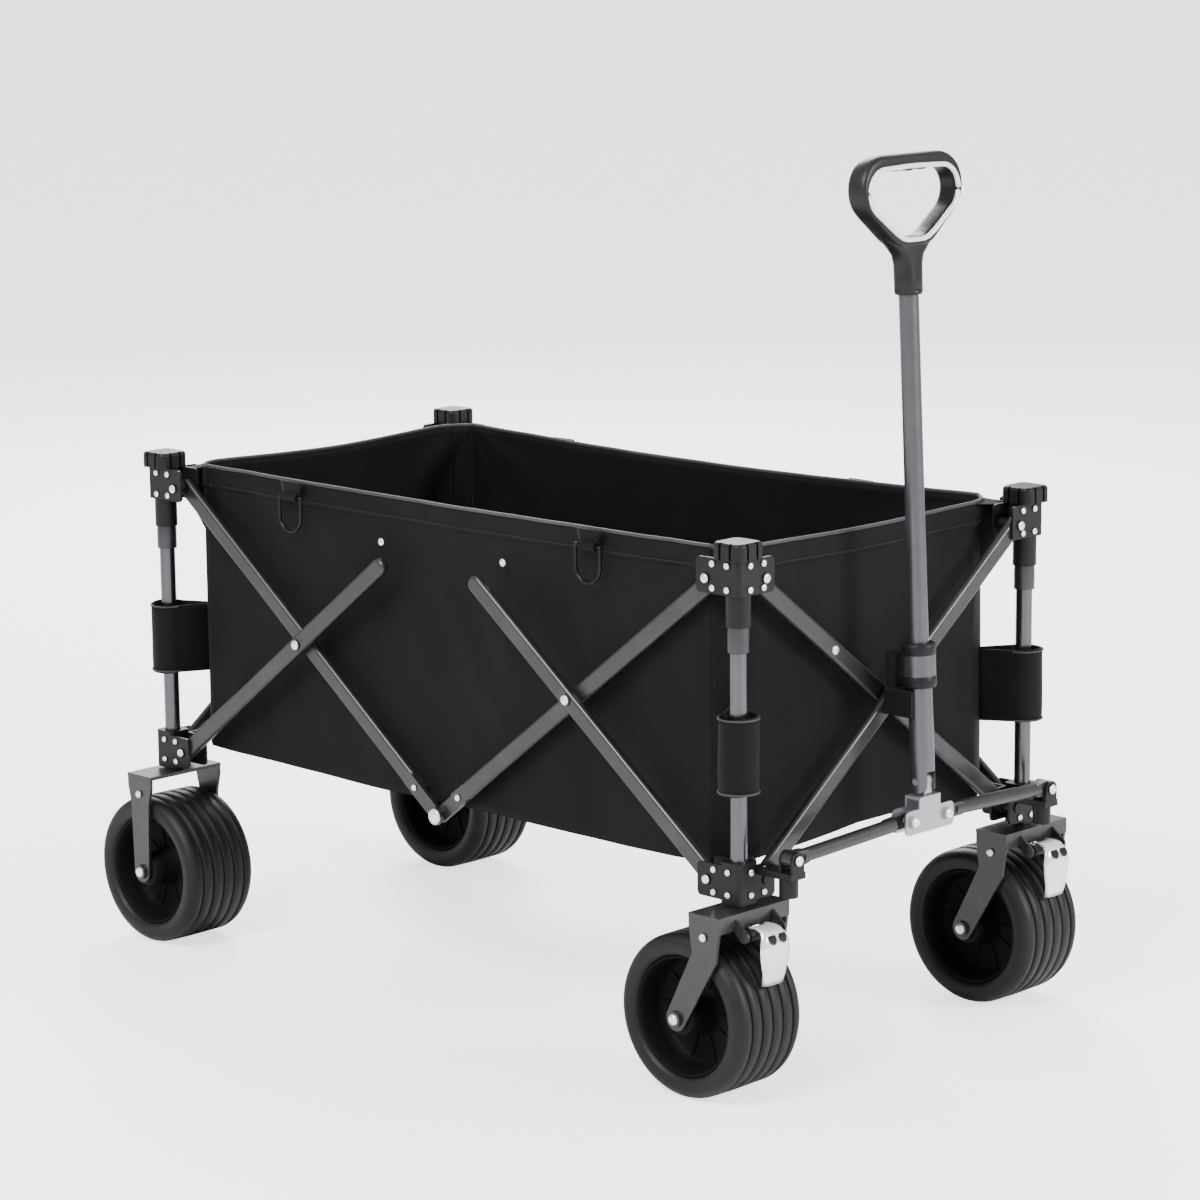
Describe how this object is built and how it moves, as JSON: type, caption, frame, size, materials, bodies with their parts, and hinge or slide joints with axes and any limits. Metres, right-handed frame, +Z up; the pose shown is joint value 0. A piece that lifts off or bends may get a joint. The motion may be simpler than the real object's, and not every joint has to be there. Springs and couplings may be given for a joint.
{
  "type": "folding camp wagon",
  "caption": "Collapsible camping wagon: scissor frame with corner posts, hanging fabric bag, wide wheels, front casters and a telescopic pull handle.",
  "frame": {"origin": "middle of the outline on the ground", "axes": "+X towards the pull handle, +Y to the wagon's left, +Z up"},
  "size_m": [1.0608, 0.578, 0.9616],
  "materials": {
    "frame_steel": "satin",
    "bracket": "matte",
    "wheel_steel": "satin",
    "tyre": "matte",
    "rim": "matte",
    "cloth": "matte",
    "grip": "satin",
    "bright": "polished",
    "handle_tube": "satin"
  },
  "bodies": {
    "rear_right_corner": {"low_bracket_rear_right": "bracket", "post_rear_right": "frame_steel", "fork_rear_right": "wheel_steel"},
    "bar_right_low_rear": {"bar_right_low_rear": "frame_steel"},
    "bar_right_high_rear": {"bar_right_high_rear": "frame_steel"},
    "bar_right_high_front": {"bar_right_high_front": "frame_steel"},
    "bar_right_low_front": {"bar_right_low_front": "frame_steel"},
    "bar_left_low_rear": {"bar_left_low_rear": "frame_steel"},
    "bar_left_high_rear": {"bar_left_high_rear": "frame_steel"},
    "bar_left_high_front": {"bar_left_high_front": "frame_steel"},
    "bar_left_low_front": {"bar_left_low_front": "frame_steel"},
    "front_right_corner": {"low_bracket_front_right": "bracket", "post_front_right": "frame_steel"},
    "rear_right_top": {"top_bracket_rear_right": "bracket", "bag_side_right": "cloth", "bag_rear": "cloth"},
    "front_right_top": {"top_bracket_front_right": "bracket", "bag_front": "cloth"},
    "rear_left_corner": {"low_bracket_rear_left": "bracket", "post_rear_left": "frame_steel", "fork_rear_left": "wheel_steel"},
    "rear_left_top": {"top_bracket_rear_left": "bracket", "bag_side_left": "cloth"},
    "front_left_corner": {"low_bracket_front_left": "bracket", "post_front_left": "frame_steel"},
    "front_left_top": {"top_bracket_front_left": "bracket", "bag_strap_front_left": "cloth"},
    "bar_rear_outer": {"bar_rear_outer": "frame_steel"},
    "bar_rear_inner": {"bar_rear_inner": "frame_steel"},
    "bar_front_outer": {"bar_front_outer": "frame_steel"},
    "bar_front_inner": {"bar_front_inner": "frame_steel"},
    "handle_clip": {"handle_clip": "bracket"},
    "handle_bracket": {"handle_bracket": "bright"},
    "link_right": {"link_right": "frame_steel"},
    "bag_floor_right": {"bag_floor_right": "cloth"},
    "ring_tab_right_rear": {"ring_tab_right_rear": "cloth"},
    "d_ring_right_rear": {"d_ring_right_rear": "bright"},
    "ring_tab_right_front": {"ring_tab_right_front": "cloth"},
    "d_ring_right_front": {"d_ring_right_front": "bright"},
    "caster_front_right": {"fork_front_right": "wheel_steel"},
    "pedal_front_right": {"pedal_front_right": "bright"},
    "wheel_front_right": {"tyre_front_right": "tyre", "rim_front_right": "rim"},
    "wheel_rear_right": {"tyre_rear_right": "tyre", "rim_rear_right": "rim"},
    "link_left": {"link_left": "frame_steel"},
    "bag_floor_left": {"bag_floor_left": "cloth"},
    "ring_tab_left_rear": {"ring_tab_left_rear": "cloth"},
    "d_ring_left_rear": {"d_ring_left_rear": "bright"},
    "ring_tab_left_front": {"ring_tab_left_front": "cloth"},
    "d_ring_left_front": {"d_ring_left_front": "bright"},
    "caster_front_left": {"fork_front_left": "wheel_steel"},
    "pedal_front_left": {"pedal_front_left": "bright"},
    "wheel_front_left": {"tyre_front_left": "tyre", "rim_front_left": "rim"},
    "wheel_rear_left": {"tyre_rear_left": "tyre", "rim_rear_left": "rim"},
    "handle_lower": {"handle_lower_tube": "handle_tube"},
    "handle_upper": {"handle_upper_tube": "handle_tube", "handle_grip": "grip"}
  },
  "joints": [
    {"name": "frame_fold", "type": "hinge", "parent": "rear_right_corner", "child": "bar_right_low_rear", "pos_m": [-0.41095, -0.232, 0.23], "axis": [0, -1, 0], "range_deg": [0, 38], "deforming": ["bag_side_right", "bag_rear", "bag_side_left", "bag_front", "bag_floor_right", "bag_floor_left"]},
    {"name": "right_rear_crossing", "type": "hinge", "parent": "bar_right_low_rear", "child": "bar_right_high_rear", "pos_m": [-0.20495, -0.232, 0.3875], "axis": [0, 1, 0], "range_deg": [0, 76.04]},
    {"name": "right_middle_pivot", "type": "hinge", "parent": "bar_right_high_rear", "child": "bar_right_high_front", "pos_m": [0.01135, -0.232, 0.22212], "axis": [0, 1, 0], "range_deg": [-76.04, 0]},
    {"name": "right_front_crossing", "type": "hinge", "parent": "bar_right_high_front", "child": "bar_right_low_front", "pos_m": [0.22765, -0.232, 0.3875], "axis": [0, 1, 0], "range_deg": [0, 76.04]},
    {"name": "front_right_corner_pivot", "type": "hinge", "parent": "bar_right_low_front", "child": "front_right_corner", "pos_m": [0.43365, -0.232, 0.23], "axis": [0, 1, 0], "range_deg": [-38.02, 0]},
    {"name": "front_right_top_pivot", "type": "hinge", "parent": "bar_right_high_front", "child": "front_right_top", "pos_m": [0.43365, -0.232, 0.545], "axis": [0, 1, 0], "range_deg": [0, 38.02]},
    {"name": "rear_right_top_pivot", "type": "hinge", "parent": "bar_right_high_rear", "child": "rear_right_top", "pos_m": [-0.41095, -0.232, 0.545], "axis": [0, 1, 0], "range_deg": [-38.02, 0]},
    {"name": "left_low_rear_pivot", "type": "hinge", "parent": "rear_left_corner", "child": "bar_left_low_rear", "pos_m": [-0.41095, 0.232, 0.23], "axis": [0, 1, 0], "range_deg": [-38.02, 0]},
    {"name": "left_rear_crossing", "type": "hinge", "parent": "bar_left_low_rear", "child": "bar_left_high_rear", "pos_m": [-0.20495, 0.232, 0.3875], "axis": [0, 1, 0], "range_deg": [0, 76.04]},
    {"name": "left_middle_pivot", "type": "hinge", "parent": "bar_left_high_rear", "child": "bar_left_high_front", "pos_m": [0.01135, 0.232, 0.22212], "axis": [0, 1, 0], "range_deg": [-76.04, 0]},
    {"name": "left_front_crossing", "type": "hinge", "parent": "bar_left_high_front", "child": "bar_left_low_front", "pos_m": [0.22765, 0.232, 0.3875], "axis": [0, 1, 0], "range_deg": [0, 76.04]},
    {"name": "rear_outer_pivot", "type": "hinge", "parent": "rear_right_corner", "child": "bar_rear_outer", "pos_m": [-0.44295, -0.206, 0.23], "axis": [1, 0, 0], "range_deg": [0, 38.02]},
    {"name": "rear_end_crossing", "type": "hinge", "parent": "bar_rear_outer", "child": "bar_rear_inner", "pos_m": [-0.44295, 0, 0.3875], "axis": [1, 0, 0], "range_deg": [-76.04, 0]},
    {"name": "rear_left_corner_pivot", "type": "hinge", "parent": "bar_rear_inner", "child": "rear_left_corner", "pos_m": [-0.44295, 0.206, 0.23], "axis": [1, 0, 0], "range_deg": [0, 38.02]},
    {"name": "rear_left_top_pivot", "type": "hinge", "parent": "bar_rear_outer", "child": "rear_left_top", "pos_m": [-0.44295, 0.206, 0.545], "axis": [1, 0, 0], "range_deg": [-38.02, 0]},
    {"name": "front_outer_pivot", "type": "hinge", "parent": "front_right_corner", "child": "bar_front_outer", "pos_m": [0.46565, -0.206, 0.23], "axis": [1, 0, 0], "range_deg": [0, 38.02]},
    {"name": "front_end_crossing", "type": "hinge", "parent": "bar_front_outer", "child": "bar_front_inner", "pos_m": [0.46565, 0, 0.3875], "axis": [1, 0, 0], "range_deg": [-76.04, 0]},
    {"name": "front_left_corner_pivot", "type": "hinge", "parent": "bar_front_inner", "child": "front_left_corner", "pos_m": [0.46565, 0.206, 0.23], "axis": [1, 0, 0], "range_deg": [0, 38.02]},
    {"name": "front_left_top_pivot", "type": "hinge", "parent": "bar_front_outer", "child": "front_left_top", "pos_m": [0.46565, 0.206, 0.545], "axis": [1, 0, 0], "range_deg": [-38.02, 0]},
    {"name": "clip_pivot", "type": "hinge", "parent": "bar_front_outer", "child": "handle_clip", "pos_m": [0.46565, 0, 0.3875], "axis": [1, 0, 0], "range_deg": [-38.02, 0]},
    {"name": "bracket_lift", "type": "slide", "parent": "handle_clip", "child": "handle_bracket", "axis": [0, 0, 1], "range_m": [0, 0.07578]},
    {"name": "link_right_pivot", "type": "hinge", "parent": "front_right_corner", "child": "link_right", "pos_m": [0.51635, -0.208, 0.258], "axis": [1, 0, 0], "range_deg": [0, 75.07]},
    {"name": "floor_right_fold", "type": "hinge", "parent": "rear_right_top", "child": "bag_floor_right", "pos_m": [0.01135, -0.216, 0.2384], "axis": [1, 0, 0], "range_deg": [0, 69.58]},
    {"name": "tab_right_rear_gather", "type": "slide", "parent": "rear_right_top", "child": "ring_tab_right_rear", "axis": [-1, 0, 0], "range_m": [0, 0.11307]},
    {"name": "d_ring_right_rear_swing", "type": "hinge", "parent": "ring_tab_right_rear", "child": "d_ring_right_rear", "pos_m": [-0.23367, -0.2211, 0.552], "axis": [-1, 0, 0], "range_deg": [0, 110]},
    {"name": "tab_right_front_gather", "type": "slide", "parent": "rear_right_top", "child": "ring_tab_right_front", "axis": [-1, 0, 0], "range_m": [0, 0.45307]},
    {"name": "d_ring_right_front_swing", "type": "hinge", "parent": "ring_tab_right_front", "child": "d_ring_right_front", "pos_m": [0.24134, -0.2211, 0.552], "axis": [-1, 0, 0], "range_deg": [0, 110]},
    {"name": "caster_front_right_swivel", "type": "hinge", "parent": "front_right_corner", "child": "caster_front_right", "pos_m": [0.46565, -0.232, 0.2], "axis": [0, 0, -1], "continuous": true},
    {"name": "brake_right_press", "type": "hinge", "parent": "caster_front_right", "child": "pedal_front_right", "pos_m": [0.49865, -0.232, 0.183], "axis": [0, 1, 0], "range_deg": [0, 8]},
    {"name": "wheel_front_right_spin", "type": "hinge", "parent": "caster_front_right", "child": "wheel_front_right", "pos_m": [0.42565, -0.232, 0.0875], "axis": [0, 1, 0], "continuous": true},
    {"name": "wheel_rear_right_spin", "type": "hinge", "parent": "rear_right_corner", "child": "wheel_rear_right", "pos_m": [-0.44295, -0.232, 0.0875], "axis": [0, 1, 0], "continuous": true},
    {"name": "link_left_pivot", "type": "hinge", "parent": "front_left_corner", "child": "link_left", "pos_m": [0.51635, 0.208, 0.258], "axis": [-1, 0, 0], "range_deg": [0, 75.07]},
    {"name": "floor_left_fold", "type": "hinge", "parent": "rear_left_top", "child": "bag_floor_left", "pos_m": [0.01135, 0.216, 0.2384], "axis": [-1, 0, 0], "range_deg": [0, 69.58]},
    {"name": "tab_left_rear_gather", "type": "slide", "parent": "rear_left_top", "child": "ring_tab_left_rear", "axis": [-1, 0, 0], "range_m": [0, 0.11307]},
    {"name": "d_ring_left_rear_swing", "type": "hinge", "parent": "ring_tab_left_rear", "child": "d_ring_left_rear", "pos_m": [-0.23367, 0.2211, 0.552], "axis": [1, 0, 0], "range_deg": [0, 110]},
    {"name": "tab_left_front_gather", "type": "slide", "parent": "rear_left_top", "child": "ring_tab_left_front", "axis": [-1, 0, 0], "range_m": [0, 0.45307]},
    {"name": "d_ring_left_front_swing", "type": "hinge", "parent": "ring_tab_left_front", "child": "d_ring_left_front", "pos_m": [0.24134, 0.2211, 0.552], "axis": [1, 0, 0], "range_deg": [0, 110]},
    {"name": "caster_front_left_swivel", "type": "hinge", "parent": "front_left_corner", "child": "caster_front_left", "pos_m": [0.46565, 0.232, 0.2], "axis": [0, 0, 1], "continuous": true},
    {"name": "brake_left_press", "type": "hinge", "parent": "caster_front_left", "child": "pedal_front_left", "pos_m": [0.49865, 0.232, 0.183], "axis": [0, 1, 0], "range_deg": [0, 8]},
    {"name": "wheel_front_left_spin", "type": "hinge", "parent": "caster_front_left", "child": "wheel_front_left", "pos_m": [0.42565, 0.232, 0.0875], "axis": [0, 1, 0], "continuous": true},
    {"name": "wheel_rear_left_spin", "type": "hinge", "parent": "rear_left_corner", "child": "wheel_rear_left", "pos_m": [-0.44295, 0.232, 0.0875], "axis": [0, 1, 0], "continuous": true},
    {"name": "handle_swing", "type": "hinge", "parent": "handle_bracket", "child": "handle_lower", "pos_m": [0.51635, 0, 0.304], "axis": [0, 1, 0], "range_deg": [0, 100]},
    {"name": "handle_extend", "type": "slide", "parent": "handle_lower", "child": "handle_upper", "axis": [-0.0454, 0, 0.999], "range_m": [-0.065, 0]}
  ],
  "couplings": [
    {"joint": "right_rear_crossing", "follows": "frame_fold", "ratio": 2},
    {"joint": "right_middle_pivot", "follows": "frame_fold", "ratio": -2},
    {"joint": "right_front_crossing", "follows": "frame_fold", "ratio": 2},
    {"joint": "front_right_corner_pivot", "follows": "frame_fold", "ratio": -1},
    {"joint": "front_right_top_pivot", "follows": "frame_fold", "ratio": 1},
    {"joint": "rear_right_top_pivot", "follows": "frame_fold", "ratio": -1},
    {"joint": "left_low_rear_pivot", "follows": "frame_fold", "ratio": -1},
    {"joint": "left_rear_crossing", "follows": "frame_fold", "ratio": 2},
    {"joint": "left_middle_pivot", "follows": "frame_fold", "ratio": -2},
    {"joint": "left_front_crossing", "follows": "frame_fold", "ratio": 2},
    {"joint": "rear_outer_pivot", "follows": "frame_fold", "ratio": 1},
    {"joint": "rear_end_crossing", "follows": "frame_fold", "ratio": -2},
    {"joint": "rear_left_corner_pivot", "follows": "frame_fold", "ratio": 1},
    {"joint": "rear_left_top_pivot", "follows": "frame_fold", "ratio": -1},
    {"joint": "front_outer_pivot", "follows": "frame_fold", "ratio": 1},
    {"joint": "front_end_crossing", "follows": "frame_fold", "ratio": -2},
    {"joint": "front_left_corner_pivot", "follows": "frame_fold", "ratio": 1},
    {"joint": "front_left_top_pivot", "follows": "frame_fold", "ratio": -1},
    {"joint": "clip_pivot", "follows": "frame_fold", "ratio": -1},
    {"joint": "bracket_lift", "follows": "frame_fold", "m_per_rad": 0.11421},
    {"joint": "link_right_pivot", "follows": "frame_fold", "ratio": 1.9745},
    {"joint": "floor_right_fold", "follows": "frame_fold", "ratio": 1.8303},
    {"joint": "tab_right_rear_gather", "follows": "frame_fold", "m_per_rad": 0.1704},
    {"joint": "tab_right_front_gather", "follows": "frame_fold", "m_per_rad": 0.68278},
    {"joint": "link_left_pivot", "follows": "frame_fold", "ratio": 1.9745},
    {"joint": "floor_left_fold", "follows": "frame_fold", "ratio": 1.8303},
    {"joint": "tab_left_rear_gather", "follows": "frame_fold", "m_per_rad": 0.1704},
    {"joint": "tab_left_front_gather", "follows": "frame_fold", "m_per_rad": 0.68278}
  ]
}
